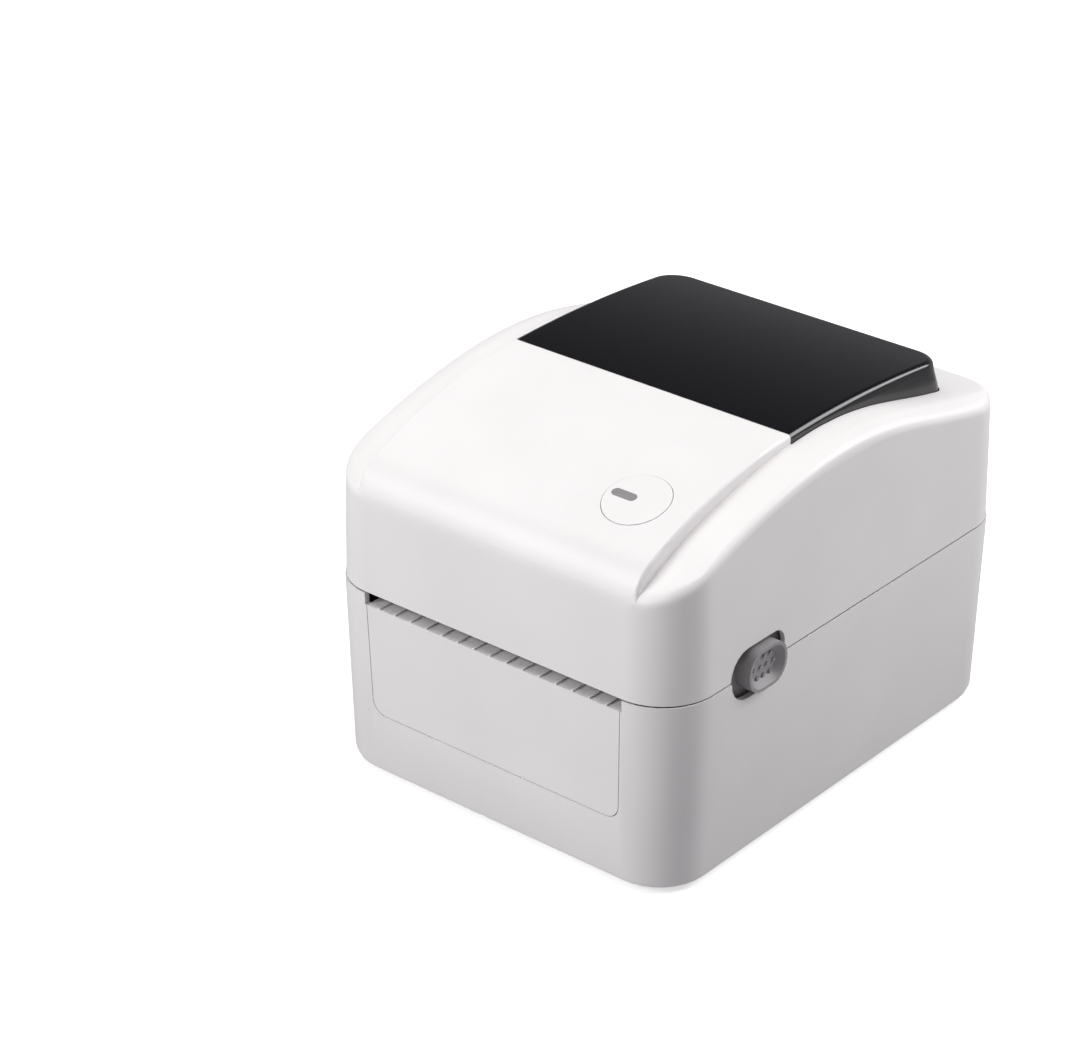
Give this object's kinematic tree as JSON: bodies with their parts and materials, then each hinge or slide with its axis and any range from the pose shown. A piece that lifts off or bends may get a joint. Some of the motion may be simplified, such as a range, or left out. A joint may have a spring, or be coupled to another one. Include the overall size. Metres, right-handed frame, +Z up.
{
  "type": "thermal label printer",
  "caption": "Desktop direct-thermal label printer: arched clamshell housing with a smoked roof window, side latches, feed button, driven platen and centring label guides.",
  "frame": {"origin": "on the table, under the middle of the housing", "axes": "+X to the viewer's right, +Y from the label mouth to the hinged back, +Z up"},
  "size_m": [0.1792, 0.22, 0.1566],
  "materials": {
    "housing_plastic": "fine-textured off-white moulding",
    "liner_plastic": "dark grey moulding",
    "window_plastic": "smoked, polished",
    "latch_plastic": "mid-grey moulding",
    "guide_plastic": "black moulding",
    "lens_plastic": "milky light guide",
    "gear_plastic": "natural acetal",
    "switch_plastic": "black moulding",
    "sheet_steel": "zinc-plated sheet",
    "spring_steel": "blued strip",
    "turned_steel": "ground bar",
    "motor_can": "black painted can",
    "heatsink_aluminium": "milled, clear anodised",
    "head_ceramic": "glazed alumina",
    "platen_silicone": "ground silicone",
    "foot_rubber": "soft black",
    "circuit_board": "green solder mask"
  },
  "bodies": {
    "base": {"base_shell": "housing_plastic", "front_panel": "housing_plastic", "bay_liner": "liner_plastic", "print_frame": "sheet_steel", "platen_bushing_left": "gear_plastic", "platen_bushing_right": "gear_plastic", "gear_stud": "turned_steel", "stepper_motor": "motor_can", "main_board": "circuit_board", "usb_socket": "sheet_steel", "power_jack": "switch_plastic", "switch_housing": "switch_plastic", "latch_spring_left": "spring_steel", "latch_spring_right": "spring_steel", "foot_front_left": "foot_rubber", "foot_front_right": "foot_rubber", "foot_rear_left": "foot_rubber", "foot_rear_right": "foot_rubber", "liner_screw_front_left": "turned_steel", "liner_screw_front_right": "turned_steel", "liner_screw_rear_left": "turned_steel", "liner_screw_rear_right": "turned_steel"},
    "cover": {"top_cover": "housing_plastic", "window": "window_plastic", "cover_liner": "liner_plastic", "tear_blade": "sheet_steel", "button_board": "circuit_board", "hinge_pin_left": "turned_steel", "hinge_pin_right": "turned_steel", "head_spring_left": "spring_steel", "head_spring_right": "spring_steel", "cover_screw_front_left": "turned_steel", "cover_screw_front_right": "turned_steel", "cover_screw_rear_left": "turned_steel", "cover_screw_rear_right": "turned_steel"},
    "print_head": {"head_bracket": "sheet_steel", "head_heatsink": "heatsink_aluminium", "head_substrate": "head_ceramic"},
    "feed_button": {"feed_button": "housing_plastic", "status_lens": "lens_plastic"},
    "latch_right": {"latch_right": "latch_plastic"},
    "latch_left": {"latch_left": "latch_plastic"},
    "platen": {"platen_shaft": "turned_steel", "platen_rubber": "platen_silicone", "platen_gear": "gear_plastic"},
    "reduction_gear": {"reduction_gear": "gear_plastic"},
    "motor_rotor": {"motor_shaft": "turned_steel", "motor_pinion": "gear_plastic"},
    "label_guide_left": {"label_guide_left": "guide_plastic"},
    "label_guide_right": {"label_guide_right": "guide_plastic"},
    "guide_pinion": {"guide_pinion": "gear_plastic"},
    "power_rocker": {"power_rocker": "switch_plastic"},
    "media_sensor": {"media_sensor": "guide_plastic"}
  },
  "joints": [
    {"name": "cover_hinge", "type": "hinge", "parent": "base", "child": "cover", "pos_m": [0, 0.1035, 0.0965], "axis": [-1, 0, 0], "range_deg": [0, 95]},
    {"name": "head_pivot", "type": "hinge", "parent": "cover", "child": "print_head", "pos_m": [0, -0.065, 0.091], "axis": [-1, 0, 0], "range_deg": [0, 2], "stiffness_Nm_per_rad": 6, "deforming": ["head_spring_left", "head_spring_right"]},
    {"name": "button_press", "type": "slide", "parent": "cover", "child": "feed_button", "axis": [0, 0.3126, -0.9499], "range_m": [0, 0.0008], "stiffness_N_per_m": 800},
    {"name": "latch_right_slide", "type": "slide", "parent": "base", "child": "latch_right", "axis": [0, -1, 0], "range_m": [0, 0.005], "stiffness_N_per_m": 300, "deforming": ["latch_spring_right"]},
    {"name": "latch_left_slide", "type": "slide", "parent": "base", "child": "latch_left", "axis": [0, -1, 0], "range_m": [0, 0.005], "stiffness_N_per_m": 300, "deforming": ["latch_spring_left"]},
    {"name": "platen_spin", "type": "hinge", "parent": "base", "child": "platen", "pos_m": [0, -0.088, 0.0715], "axis": [1, 0, 0], "continuous": true},
    {"name": "reduction_spin", "type": "hinge", "parent": "base", "child": "reduction_gear", "pos_m": [0, -0.08191, 0.05845], "axis": [1, 0, 0], "continuous": true},
    {"name": "motor_spin", "type": "hinge", "parent": "base", "child": "motor_rotor", "pos_m": [0, -0.07589, 0.04191], "axis": [1, 0, 0], "continuous": true},
    {"name": "guide_left_slide", "type": "slide", "parent": "base", "child": "label_guide_left", "axis": [1, 0, 0], "range_m": [-0.007, 0.034]},
    {"name": "guide_right_slide", "type": "slide", "parent": "base", "child": "label_guide_right", "axis": [1, 0, 0], "range_m": [-0.034, 0.007]},
    {"name": "guide_pinion_spin", "type": "hinge", "parent": "base", "child": "guide_pinion", "pos_m": [0, 0.028, 0.011], "axis": [0, 0, 1], "range_deg": [-278.29, 57.3]},
    {"name": "power_rock", "type": "hinge", "parent": "base", "child": "power_rocker", "pos_m": [-0.036, 0.10284, 0.0265], "axis": [1, 0, 0], "range_deg": [0, 16]},
    {"name": "sensor_slide", "type": "slide", "parent": "base", "child": "media_sensor", "axis": [1, 0, 0], "range_m": [-0.03, 0.03]}
  ],
  "couplings": [
    {"joint": "reduction_spin", "follows": "platen_spin", "ratio": -1.5714},
    {"joint": "motor_spin", "follows": "platen_spin", "ratio": 4.1905},
    {"joint": "guide_right_slide", "follows": "guide_left_slide", "ratio": -1},
    {"joint": "guide_pinion_spin", "follows": "guide_left_slide", "rad_per_m": -142.86}
  ]
}
